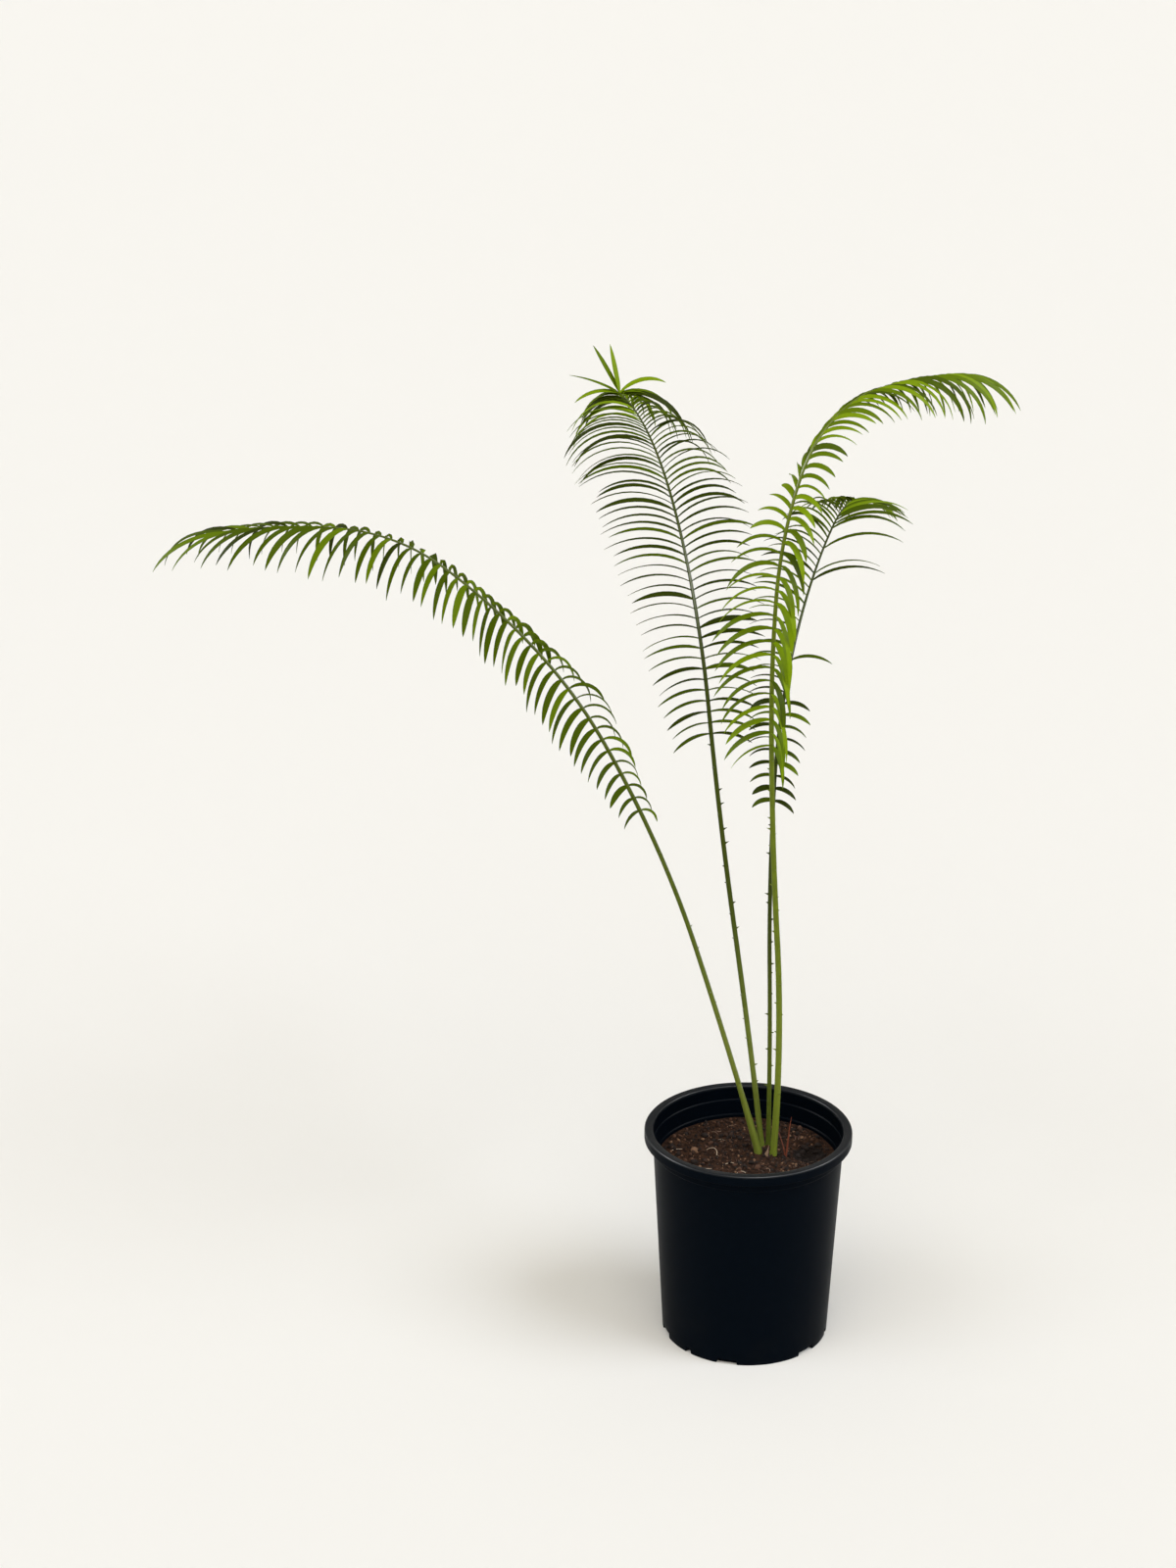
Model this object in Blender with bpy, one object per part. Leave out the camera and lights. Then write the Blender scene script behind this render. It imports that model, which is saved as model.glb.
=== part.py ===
# A young Cycas pectinata with four long fronds in a round nursery pot.
# Metres, +Z up. The origin is the middle of the pot's underside, and the pot's front faces -Y.

import math
import random

import bmesh
import bpy
import numpy as np
from mathutils import Vector

# Pot
POT_HEIGHT = 0.300
RIM_RADIUS = 0.140
RIM_FLAT = 0.0125          # width of the level flange on top
LIP_DROP = 0.014           # height of the skirt that hangs from the flange
COLLAR_DROP = 0.014        # height of the wider collar under the skirt
TOP_RADIUS = 0.1278        # outer wall under the collar
BASE_RADIUS = 0.113
WALL = 0.0025
FLOOR = 0.006
LEDGE_DROPS = (0.020, 0.041)   # depths of the two inner stacking ledges
LEDGE_STEP = 0.002
POT_SIDES = 44
NOTCH_HEIGHT = 0.0065
NOTCH_DEPTH = 0.010
WIDE_NOTCH = (0.027, (-75, -15, 45, 105, 165, 225))      # width, angles from the front
SMALL_NOTCH = (0.009, (-45, 75, 195))

# Soil and crown
GAP = 0.0003               # clearance between two pieces that touch
SOIL_LEVEL = 0.2440
SOIL_BUMP = 0.0022
CROWN_PLACE = (0.0265, 0.0355)
CROWN_RADIUS = 0.0245
CROWN_HEIGHT = 0.0054
FOOT_LEVEL = SOIL_LEVEL + CROWN_HEIGHT + 2 * GAP
SCALE_COUNT = 9
SCALE_LENGTH = 0.016
SCALE_WIDTH = 0.0085

# Dead spike left from an old leaf
SPIKE_PLACE = (0.052, 0.018)
SPIKE_HEIGHT = 0.054
SPIKE_RADIUS = 0.0016

# Leaflets
STALK_SIDES = 8
RIB_SIDES = 5
RIB_SPAN = 0.045           # length of one straight piece of the rib
TIP_RADIUS = 0.0009
LEAFLET_WIDTH = 0.0085
LEAFLET_THICKNESS = 0.012  # share of the leaflet's length
LEAFLET_OUTLINE = ((0.0, 0.42), (0.24, 0.96), (0.62, 0.92), (1.0, 0.0))
LEAFLET_CLEAR = 0.0075     # a leaflet that comes nearer to another piece than this is left out
LEAFLET_CROSS = 0.0040     # and so is one that comes nearer to a leaflet of its own piece
FIRST_LEAFLET = 0.011      # from a rib's lower end to its first pair
SEED = 11

# Share of a frond's whole length at which its leans and bearings are given
FROND_STATIONS = (0.0, 0.25, 0.5, 0.625, 0.75, 0.875, 1.0)

# Each frond: lean is measured from upright and bearing from +X towards +Y, both in degrees.
# gap is the distance between leaflet pairs and reach a leaflet's length, both in millimetres.
# spread is the angle between leaflet and rib, lift how far the pair folds up into a V, twist the
# rib's turn about itself, sag how far a leaflet bends down by its tip, early how soon it does
# (under 1 is near the rib), and cant the turn of its blade out of the level. open is added to the
# spread on the right side and taken off it on the left. These are given at even steps along the
# leafy part. skew makes the right side sag more. bare lists where a side has lost its leaflets, as
# side, from and to. crest holds the tip's own leaflets as bearing, elevation, length, sag and cant.
FRONDS = {
    "left": dict(
        foot=(0.0165, 0.0300), length=1.232, leafy=0.500, bend=0.875,
        radii=(0.0062, 0.0041, 0.0031), leans=(16, 18.5, 31, 45, 54.5, 87, 97.5),
        bearings=(168, 165, 163, 165, 169, 176, 184), gap=(19, 15.5, 14, 15, 17),
        reach=(34, 74, 76, 92, 112), spread=(88, 86, 74, 58, 20), open=(15, 8, 0, 0, 0),
        lift=(10, 12, 22, 22, 10), twist=(30, 28, 8, 0, 0), sag=(78, 84, 108, 105, 60),
        early=(0.9, 0.8, 0.5, 0.6, 1.7), cant=(20, 15, 5, 5, 5), skew=0.12, bare=(), crest=(),
    ),
    "middle": dict(
        foot=(0.0212, 0.0468), length=1.215, leafy=0.559, bend=0.860,
        radii=(0.0043, 0.0037, 0.0030), leans=(11.5, 18, 17.5, 35, 55.5, 75.5, 92.5),
        bearings=(124, 117, 109, 106, 104, 104, 104), gap=(15, 13.5, 11.5, 10, 9.5),
        reach=(62, 88, 118, 148, 98), spread=(88, 70, 58, 50, 22), open=(0, 0),
        lift=(8, 15, 20, 20, 10), twist=(0, 0, 0, 0, 0), sag=(45, 50, 66, 92, 60),
        early=(1.0, 1.0, 1.0, 1.0, 1.0), cant=(12, 10, 8, 8, 15), skew=0.0, bare=(),
        crest=(
            (140, 54, 80, 5, 30), (112, 60, 74, 0, 20), (168, 27, 78, 20, 35),
            (178, 18, 70, 62, 30), (28, 40, 82, 70, 45), (8, 8, 120, 76, 40),
            (16, 16, 98, 84, 30), (2, -2, 104, 62, 30),
        ),
    ),
    "right": dict(
        foot=(0.0360, 0.0220), length=1.275, leafy=0.590, bend=0.985,
        radii=(0.0049, 0.0043, 0.0034), leans=(6, -7, -2, 5, 27, 82, 99.5),
        bearings=(54, 53, 52, 50, 45, 38, 34), gap=(18, 17.5, 17, 15, 13, 12, 12, 12, 12),
        reach=(66, 84, 92, 78, 44, 58, 84, 108, 108), spread=(85, 80, 76, 62, 26, 22, 32, 34, 18),
        open=(0, 0, 0, 0, 4, 14, 18, 12, 2), lift=(32, 32, 30, 26, 26, 12, 5, 4, 0),
        twist=(0, 0, 0, 2, 5, 10, 18, 20, 20), sag=(80, 86, 92, 104, 104, 70, 74, 84, 50),
        early=(0.8, 0.75, 0.7, 0.6, 0.55, 0.9, 0.9, 0.9, 1.0),
        cant=(35, 35, 35, 30, 20, 15, 10, 10, 10), skew=0.18, bare=(), crest=(),
    ),
    "back": dict(
        foot=(0.0305, 0.0487), length=1.063, leafy=0.500, bend=0.770,
        radii=(0.0035, 0.0031, 0.0027), leans=(0, -6, 6.5, 29.5, 53, 74, 105),
        bearings=(75, 71, 69, 68.5, 69.5, 71.5, 72), gap=(17, 15, 13, 11, 10),
        reach=(32, 46, 84, 126, 110), spread=(82, 70, 56, 44, 20), open=(0, 0),
        lift=(10, 15, 20, 20, 10), twist=(0, 0, 0, 0, 0), sag=(65, 65, 62, 62, 35),
        early=(1.0, 1.0, 1.0, 1.0, 1.0), cant=(15, 12, 8, 8, 10), skew=0.0,
        bare=((1, 0.27, 0.345), (1, 0.375, 0.545), (1, 0.60, 0.66), (1, 0.69, 0.74)), crest=(),
    ),
}


def material(name, colour, roughness):
    made = bpy.data.materials.new(name)
    made.use_nodes = True
    shader = made.node_tree.nodes["Principled BSDF"]
    shader.inputs["Base Color"].default_value = (*colour, 1.0)
    shader.inputs["Roughness"].default_value = roughness
    shader.inputs["Metallic"].default_value = 0.0
    return made


def mesh_object(name, mesh_data, paint=None, smooth_angle=None):
    """Closes a bmesh into a named object, its faces turned outwards."""
    bmesh.ops.recalc_face_normals(mesh_data, faces=mesh_data.faces)
    mesh = bpy.data.meshes.new(name)
    mesh_data.to_mesh(mesh)
    mesh_data.free()
    if smooth_angle is not None:
        mesh.shade_smooth()
        mesh.set_sharp_from_angle(angle=math.radians(smooth_angle))
    made = bpy.data.objects.new(name, mesh)
    if paint is not None:
        mesh.materials.append(paint)
    bpy.context.scene.collection.objects.link(made)
    return made


def turned(profile, sides):
    """A bmesh turned about Z from (radius, height) points that start and end on the axis."""
    shape = bmesh.new()
    points = [shape.verts.new((radius, 0.0, height)) for radius, height in profile]
    edges = [shape.edges.new(pair) for pair in zip(points, points[1:])]
    bmesh.ops.spin(
        shape, geom=points + edges, cent=(0, 0, 0), axis=(0, 0, 1),
        angle=math.tau, steps=sides, use_merge=True,
    )
    bmesh.ops.remove_doubles(shape, verts=shape.verts, dist=1e-6)
    return shape


def loft(rings, closed_tip=False):
    """A bmesh that joins rings of equal count and closes both ends, the last one in a point if asked."""
    shape = bmesh.new()
    loops = [[shape.verts.new(point) for point in ring] for ring in rings]
    for below, above in zip(loops, loops[1:]):
        count = len(below)
        for i in range(count):
            j = (i + 1) % count
            if closed_tip and above is loops[-1]:
                shape.faces.new((below[i], below[j], above[0]))
            else:
                shape.faces.new((below[i], below[j], above[j], above[i]))
    shape.faces.new(reversed(loops[0]))
    if not closed_tip:
        shape.faces.new(loops[-1])
    return shape


# Pot


def wall_radius(height):
    """Outer radius of the plain wall at a height."""
    top = POT_HEIGHT - LIP_DROP - COLLAR_DROP
    return BASE_RADIUS + (TOP_RADIUS - BASE_RADIUS) * height / top


def ledge_radius(depth, count):
    """Inner radius at a depth under the rim, below the given number of ledges."""
    height = POT_HEIGHT - depth
    collar = WALL / 2 * (2 - count)
    return wall_radius(height) - WALL + collar - count * LEDGE_STEP / 2


def pot_profile():
    skirt_end = POT_HEIGHT - LIP_DROP
    collar_end = skirt_end - COLLAR_DROP
    skirt_in = RIM_RADIUS - WALL
    collar = wall_radius(skirt_end) + WALL / 2
    soft = 0.0015
    first, second = LEDGE_DROPS
    return (
        (0.0, 0.0),
        (BASE_RADIUS - soft, 0.0),
        (BASE_RADIUS, soft),
        (TOP_RADIUS, collar_end),
        (collar, collar_end + soft),
        (collar, POT_HEIGHT - WALL),
        (skirt_in, POT_HEIGHT - WALL),
        (skirt_in, skirt_end),
        (RIM_RADIUS - soft / 2, skirt_end),
        (RIM_RADIUS, skirt_end + soft / 2),
        (RIM_RADIUS, POT_HEIGHT - soft),
        (RIM_RADIUS - soft, POT_HEIGHT),
        (RIM_RADIUS - RIM_FLAT + soft, POT_HEIGHT),
        (RIM_RADIUS - RIM_FLAT, POT_HEIGHT - soft),
        (ledge_radius(first, 0), POT_HEIGHT - first),
        (ledge_radius(first, 1), POT_HEIGHT - first - soft),
        (ledge_radius(second, 1), POT_HEIGHT - second),
        (ledge_radius(second, 2), POT_HEIGHT - second - soft),
        (BASE_RADIUS - WALL, FLOOR),
        (0.0, FLOOR),
    )


def notch_cutter():
    shape = bmesh.new()
    inner = BASE_RADIUS - NOTCH_DEPTH
    outer = BASE_RADIUS + NOTCH_DEPTH
    for width, angles in (WIDE_NOTCH, SMALL_NOTCH):
        for angle in angles:
            made = bmesh.ops.create_cube(shape, size=1.0)["verts"]
            bmesh.ops.scale(shape, verts=made, vec=(outer - inner, width, 2 * NOTCH_HEIGHT))
            bmesh.ops.translate(shape, verts=made, vec=((outer + inner) / 2, 0, 0))
            turn = math.radians(angle - 90)
            for vert in made:
                x, y, z = vert.co
                vert.co = (
                    x * math.cos(turn) - y * math.sin(turn),
                    x * math.sin(turn) + y * math.cos(turn),
                    z,
                )
    cutter = mesh_object("notch_cutter", shape)
    cutter.hide_render = True
    cutter.display_type = "WIRE"
    return cutter


def build_pot():
    plastic = material("black_plastic", (0.012, 0.014, 0.019), 0.38)
    pot = mesh_object("pot", turned(pot_profile(), POT_SIDES), plastic, smooth_angle=30)
    cut = pot.modifiers.new("notches", "BOOLEAN")
    cut.operation = "DIFFERENCE"
    cut.solver = "EXACT"
    cut.object = notch_cutter()
    return pot


# Soil, crown and dead spike


def inner_radius(height):
    """Inner radius of the pot below its lower ledge."""
    lower = POT_HEIGHT - LEDGE_DROPS[1]
    top = ledge_radius(LEDGE_DROPS[1], 2)
    bottom = BASE_RADIUS - WALL
    return bottom + (top - bottom) * (height - FLOOR) / (lower - FLOOR)


def soil_bump(x, y):
    """Uneven height of the soil, level under the crown and at the wall."""
    rise = math.sin(61 * x + 0.6) * math.cos(47 * y - 0.8) + 0.6 * math.sin(118 * (x - y))
    from_crown = math.hypot(x - CROWN_PLACE[0], y - CROWN_PLACE[1]) - CROWN_RADIUS
    fade = min(1.0, max(0.0, from_crown / 0.02))
    return -SOIL_BUMP * fade * (1.0 + rise) / 2


def build_soil():
    earth = material("peat", (0.045, 0.026, 0.018), 0.95)
    top = inner_radius(SOIL_LEVEL) - GAP
    bottom = inner_radius(FLOOR + GAP) - GAP
    shares = (0.92, 0.74, 0.54, 0.32)
    profile = [(0.0, FLOOR + GAP), (bottom, FLOOR + GAP), (top, SOIL_LEVEL - SOIL_BUMP)]
    profile += [(share * top, SOIL_LEVEL) for share in shares]
    profile += [(0.0, SOIL_LEVEL)]
    shape = turned(profile, POT_SIDES)
    for vert in shape.verts:
        if vert.co.z > SOIL_LEVEL - GAP:
            vert.co.z += soil_bump(vert.co.x, vert.co.y)
    return mesh_object("soil", shape, earth, smooth_angle=60)


def keep_largest_shell(mesh):
    """Drops loose scraps and the inner skins of sealed hollows, which fills them."""
    shape = bmesh.new()
    shape.from_mesh(mesh)
    unseen = set(shape.faces)
    shells = []
    while unseen:
        shell = [unseen.pop()]
        for face in shell:
            for edge in face.edges:
                for other in edge.link_faces:
                    if other in unseen:
                        unseen.remove(other)
                        shell.append(other)
        shells.append(shell)
    shells.sort(key=len)
    loose = [face for shell in shells[:-1] for face in shell]
    bmesh.ops.delete(shape, geom=loose, context="FACES")
    shape.to_mesh(mesh)
    shape.free()


def union(name, core, extras, paint, smooth_angle):
    """Fuses a core bmesh and a list of bmeshes into one solid by a Boolean on their collection."""
    body = mesh_object(name, core, paint)
    group = bpy.data.collections.new(name + "_pieces")
    bpy.context.scene.collection.children.link(group)
    for i, extra in enumerate(extras):
        piece = mesh_object(f"{name}_piece_{i}", extra, paint)
        bpy.context.scene.collection.objects.unlink(piece)
        group.objects.link(piece)
    join = body.modifiers.new("join", "BOOLEAN")
    join.operation = "UNION"
    join.operand_type = "COLLECTION"
    join.collection = group
    join.solver = "MANIFOLD"
    bpy.context.view_layer.update()
    graph = bpy.context.evaluated_depsgraph_get()
    fused = bpy.data.meshes.new_from_object(body.evaluated_get(graph))
    keep_largest_shell(fused)
    body.modifiers.clear()
    body.data = fused
    fused.shade_smooth()
    fused.set_sharp_from_angle(angle=math.radians(smooth_angle))
    for piece in list(group.objects):
        bpy.data.objects.remove(piece)
    bpy.data.collections.remove(group)
    return body


def clears_stalks(root, along, ribs):
    """Whether a scale's middle line keeps more than half its width from every stalk."""
    for rib in ribs:
        foot = np.array([rib.place(0.002 * i) for i in range(14)])
        for share in (0.0, 0.35, 0.7, 1.0):
            away = np.linalg.norm(foot - np.array(root + along * share), axis=1).min()
            if away < rib.radius(0.0) + SCALE_WIDTH / 2 + 2 * GAP:
                return False
    return True


def crown_scale(root, along, side):
    """A pointed dry scale that stands out of the crown's edge."""
    face = side.cross(along).normalized()
    rings = []
    for share, width in ((0.0, 1.0), (0.5, 0.85), (1.0, 0.0)):
        middle = root + along * share
        half = side * SCALE_WIDTH / 2 * width
        thick = face * 0.0011 * (1.2 - share)
        rings.append((middle - half, middle + thick, middle + half, middle - thick))
    return loft(rings, closed_tip=True)


def build_crown(ribs):
    husk = material("dry_scale", (0.21, 0.12, 0.06), 0.85)
    shape = bmesh.new()
    bmesh.ops.create_cone(
        shape, cap_ends=True, segments=20, radius1=CROWN_RADIUS, radius2=CROWN_RADIUS * 0.84,
        depth=CROWN_HEIGHT,
    )
    middle = (*CROWN_PLACE, SOIL_LEVEL + GAP + CROWN_HEIGHT / 2)
    bmesh.ops.translate(shape, verts=shape.verts, vec=middle)
    draw = random.Random(SEED)
    scales = []
    for i in range(SCALE_COUNT):
        angle = math.tau * (i + draw.uniform(-0.2, 0.2)) / SCALE_COUNT
        tilt = math.radians(draw.uniform(28, 48))
        length = SCALE_LENGTH * draw.uniform(0.75, 1.1)
        outward = Vector((math.cos(angle), math.sin(angle), 0))
        side = Vector((-math.sin(angle), math.cos(angle), 0))
        along = length * (outward * math.sin(tilt) + Vector((0, 0, math.cos(tilt))))
        root = Vector((*CROWN_PLACE, SOIL_LEVEL + 6 * GAP)) + outward * (CROWN_RADIUS - 0.005)
        if clears_stalks(root, along, ribs):
            scales.append(crown_scale(root, along, side))
    return union("crown", shape, scales, husk, 40)


def build_dead_spike():
    dry = material("dead_leaf", (0.19, 0.05, 0.028), 0.8)
    shapes = []
    for lean, share, turn in ((0.16, 1.0, 0.3), (0.30, 0.62, 2.6)):
        rings = []
        for step in (0.0, 0.35, 0.7, 1.0):
            height = SPIKE_HEIGHT * share * step
            offset = lean * height * (1 + step) / 2
            middle = Vector((
                SPIKE_PLACE[0] + offset * math.cos(turn),
                SPIKE_PLACE[1] + offset * math.sin(turn),
                SOIL_LEVEL + GAP + height,
            ))
            radius = SPIKE_RADIUS * share * (1.15 - step)
            rings.append([
                middle + Vector((math.cos(a), math.sin(a), 0)) * radius
                for a in (i * math.tau / 5 for i in range(5))
            ])
        shapes.append(loft(rings))
    return union("dead_spike", shapes[0], shapes[1:], dry, 50)


# Fronds


class Rib:
    """The centre line of one frond, walked in short steps from its foot to its tip."""

    step = 0.003

    def __init__(self, frond):
        self.frond = frond
        count = round(frond["length"] / self.step)
        self.pace = frond["length"] / count
        place = np.array((*frond["foot"], FOOT_LEVEL))
        places = [place]
        for i in range(count):
            place = place + self.frame((i + 0.5) * self.pace)[0] * self.pace
            places.append(place)
        self.places = np.array(places)

    def angles(self, run):
        share = run / self.frond["length"]
        lean = np.interp(share, FROND_STATIONS, self.frond["leans"])
        bearing = np.interp(share, FROND_STATIONS, self.frond["bearings"])
        return math.radians(lean), math.radians(bearing)

    def frame(self, run):
        """Directions along the rib, out of its upper face and to its right."""
        lean, bearing = self.angles(run)
        out = np.array((math.cos(bearing), math.sin(bearing), 0.0))
        up = np.array((0.0, 0.0, 1.0))
        along = out * math.sin(lean) + up * math.cos(lean)
        upper = up * math.sin(lean) - out * math.cos(lean)
        right = np.array((math.sin(bearing), -math.cos(bearing), 0.0))
        return along, upper, right

    def place(self, run):
        at = min(max(run / self.pace, 0.0), len(self.places) - 1.001)
        i = int(at)
        return self.places[i] + (self.places[i + 1] - self.places[i]) * (at - i)

    def radius(self, run):
        foot, middle, top = self.frond["radii"]
        leafy = self.frond["leafy"]
        stations = (0.0, 0.18 * leafy, leafy, self.frond["length"])
        return float(np.interp(run, stations, (foot, middle, top, TIP_RADIUS)))

    def tube(self, start, end, sides, span):
        """A tapering solid between two lengths along the rib."""
        count = max(2, round((end - start) / span))
        rings = []
        for i in range(count + 1):
            run = start + (end - start) * i / count
            _, upper, right = self.frame(run)
            if run == 0.0:
                upper = np.cross(right, (0.0, 0.0, 1.0))   # a foot stands level on the crown
            radius = self.radius(run)
            centre = self.place(run)
            rings.append([
                Vector(centre + radius * (right * math.cos(a) + upper * math.sin(a)))
                for a in (math.tau * (k + 0.5) / sides for k in range(sides))
            ])
        return loft(rings)


def leaflet_line(root, bearing, elevation, length, sag, early, count=10):
    """Points and directions of a leaflet that bends down in one upright plane."""
    out = np.array((math.cos(bearing), math.sin(bearing), 0.0))
    up = np.array((0.0, 0.0, 1.0))
    points, directions = [np.array(root)], []
    for i in range(count):
        bent = elevation - sag * ((i + 0.5) / count) ** early
        angle = math.radians(max(bent, -86.0))
        direction = out * math.cos(angle) + up * math.sin(angle)
        points.append(points[-1] + direction * length / count)
        directions.append(direction)
    directions.append(directions[-1])
    return np.array(points), np.array(directions)


def leaflets_of(frond, rib, draw):
    """Every leaflet of a frond as a dictionary, in the order that they stand along the rib."""
    leaflets = []
    run = frond["leafy"] + FIRST_LEAFLET
    while run < frond["length"]:
        share = (run - frond["leafy"]) / (frond["length"] - frond["leafy"])
        value = {
            key: float(np.interp(share, np.linspace(0, 1, len(frond[key])), frond[key]))
            for key in ("gap", "reach", "spread", "open", "lift", "twist", "sag", "early", "cant")
        }
        along, upper, right = rib.frame(run)
        turn = math.radians(value["twist"])
        right, upper = (
            right * math.cos(turn) + upper * math.sin(turn),
            upper * math.cos(turn) - right * math.sin(turn),
        )
        for side in (1, -1):
            spread = math.radians(value["spread"] + side * value["open"] + draw.gauss(0, 1.4))
            lift = math.radians(value["lift"] + draw.gauss(0, 2))
            length = value["reach"] / 1000 * (1 + draw.gauss(0, 0.05))
            sag = value["sag"] * (1 + draw.gauss(0, 0.05)) * (1 + frond["skew"] * side)
            cant = value["cant"] + draw.gauss(0, 4)
            outward = side * math.cos(lift) * right + math.sin(lift) * upper
            start = math.cos(spread) * along + math.sin(spread) * outward
            if any(side == lost and low < share < high for lost, low, high in frond["bare"]):
                continue
            leaflets.append(dict(
                run=run, side=side, cant=cant, early=value["early"], sag=sag, length=length,
                bearing=math.atan2(start[1], start[0]),
                elevation=math.degrees(math.asin(start[2])),
            ))
        run += value["gap"] / 1000
    for bearing, elevation, length, sag, cant in frond["crest"]:
        leaflets.append(dict(
            run=frond["length"] - 0.003, side=1, cant=cant, early=1.0, sag=sag,
            length=length / 1000, bearing=math.radians(bearing), elevation=elevation,
        ))
    return leaflets


def leaflet_shape(leaflet, rib):
    """A keeled blade of three faces round, pointed at its end, from the middle of the rib."""
    root = rib.place(leaflet["run"])
    points, directions = leaflet_line(
        root, leaflet["bearing"], leaflet["elevation"], leaflet["length"],
        leaflet["sag"], leaflet["early"],
    )
    level = np.array((-math.sin(leaflet["bearing"]), math.cos(leaflet["bearing"]), 0.0))
    cant = math.radians(leaflet["cant"])
    thickness = max(0.001, LEAFLET_THICKNESS * leaflet["length"])
    rings = []
    for share, width in LEAFLET_OUTLINE:
        at = share * (len(points) - 1)
        i = min(int(at), len(points) - 2)
        place = points[i] + (points[i + 1] - points[i]) * (at - i)
        direction = directions[min(round(at), len(directions) - 1)]
        face = np.cross(direction, level)
        across = level * math.cos(cant) + leaflet["side"] * face * math.sin(cant)
        normal = np.cross(direction, across)
        half = across * LEAFLET_WIDTH / 2 * width
        keel = normal * thickness * (0.55 + 0.45 * width)
        if share == 0.0:
            half = across * min(LEAFLET_WIDTH / 2 * width, rib.radius(leaflet["run"]) * 0.8)
        rings.append([
            Vector(place - half + keel / 2),
            Vector(place + half + keel / 2),
            Vector(place - keel / 2),
        ])
    return loft(rings, closed_tip=True), points


def halves_of(name, frond):
    """Name, start and end of the two pieces of a frond's leafy part, which meet at its bend."""
    bend = frond["bend"]
    return (
        (f"frond_{name}_low", frond["leafy"] + GAP / 2, bend - GAP / 2),
        (f"frond_{name}_high", bend + GAP / 2, frond["length"]),
    )


def build_fronds(ribs):
    """Stalks first, then the leafy pieces, whose leaflets keep clear of everything before them."""
    stalk_green = material("stalk_green", (0.085, 0.17, 0.035), 0.42)
    leaf_green = material("leaf_green", (0.07, 0.19, 0.02), 0.45)
    taken = {}
    for name, rib in ribs.items():
        end = rib.frond["leafy"] - GAP / 2
        shape = rib.tube(0.0, end, STALK_SIDES, RIB_SPAN)
        mesh_object("stalk_" + name, shape, stalk_green, smooth_angle=60)
        runs = np.arange(0.0, end, 0.004)
        taken["stalk_" + name] = np.array([rib.place(run) for run in runs])
        for node, start, end in halves_of(name, rib.frond):
            taken[node] = np.array([rib.place(run) for run in np.arange(start, end, 0.004)])
    draw = random.Random(SEED)
    for name, rib in ribs.items():
        leaflets = leaflets_of(rib.frond, rib, draw)
        for node, start, end in halves_of(name, rib.frond):
            core = rib.tube(start, end, RIB_SIDES, RIB_SPAN)
            extras = []
            others = np.concatenate([line for key, line in taken.items() if key != node])
            own = np.full((1, 3), 9.0)
            for leaflet in leaflets:
                if not start + 0.004 < leaflet["run"] < end - 0.002:
                    continue
                shape, line = leaflet_shape(leaflet, rib)
                outer = line[3:]
                apart = np.linalg.norm(line[1:, None] - others[None], axis=2).min()
                crossing = np.linalg.norm(outer[:, None] - own[None], axis=2).min()
                if apart < LEAFLET_CLEAR or crossing < LEAFLET_CROSS:
                    shape.free()
                    continue
                extras.append(shape)
                own = np.concatenate([own, outer])
                taken[node] = np.concatenate([taken[node], line[1:]])
            union(node, core, extras, leaf_green, 40)


def main():
    for old in list(bpy.data.objects):
        bpy.data.objects.remove(old)
    ribs = {name: Rib(frond) for name, frond in FRONDS.items()}
    build_pot()
    build_soil()
    build_crown(ribs.values())
    build_dead_spike()
    build_fronds(ribs)


main()
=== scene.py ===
import math
import random

import bmesh
import bpy
import numpy as np
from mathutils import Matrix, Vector


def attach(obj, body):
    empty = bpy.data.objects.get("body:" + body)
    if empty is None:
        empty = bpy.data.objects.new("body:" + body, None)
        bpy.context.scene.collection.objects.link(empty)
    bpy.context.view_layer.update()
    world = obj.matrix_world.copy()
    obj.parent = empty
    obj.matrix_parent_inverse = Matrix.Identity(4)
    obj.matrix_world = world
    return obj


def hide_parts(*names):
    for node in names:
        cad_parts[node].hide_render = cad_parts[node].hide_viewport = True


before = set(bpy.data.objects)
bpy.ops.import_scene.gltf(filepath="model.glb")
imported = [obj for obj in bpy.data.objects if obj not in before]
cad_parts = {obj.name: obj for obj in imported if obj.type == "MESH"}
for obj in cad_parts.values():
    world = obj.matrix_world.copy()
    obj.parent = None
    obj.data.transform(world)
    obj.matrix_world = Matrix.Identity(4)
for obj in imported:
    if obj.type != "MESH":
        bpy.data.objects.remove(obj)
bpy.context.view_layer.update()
print("frame loaded")


# Materials

class Reckon:
    # a socket of a material's tree that can be added, multiplied and so on
    def __init__(self, paint, socket):
        self.paint = paint
        self.socket = socket

    def reckon(self, operation, first, second):
        made = self.paint.node("ShaderNodeMath", {"operation": operation}, {0: first, 1: second})
        return made(0)

    def __add__(self, other):
        return self.reckon("ADD", self, other)

    def __radd__(self, other):
        return self.reckon("ADD", other, self)

    def __rsub__(self, other):
        return self.reckon("SUBTRACT", other, self)

    def __mul__(self, other):
        return self.reckon("MULTIPLY", self, other)

    def between(self, low, high):
        # 0 below low, 1 above high, smooth in the middle
        made = self.paint.node(
            "ShaderNodeMapRange", {"interpolation_type": "SMOOTHSTEP"},
            {"Value": self, "From Min": low, "From Max": high},
        )
        return made("Result")


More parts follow.
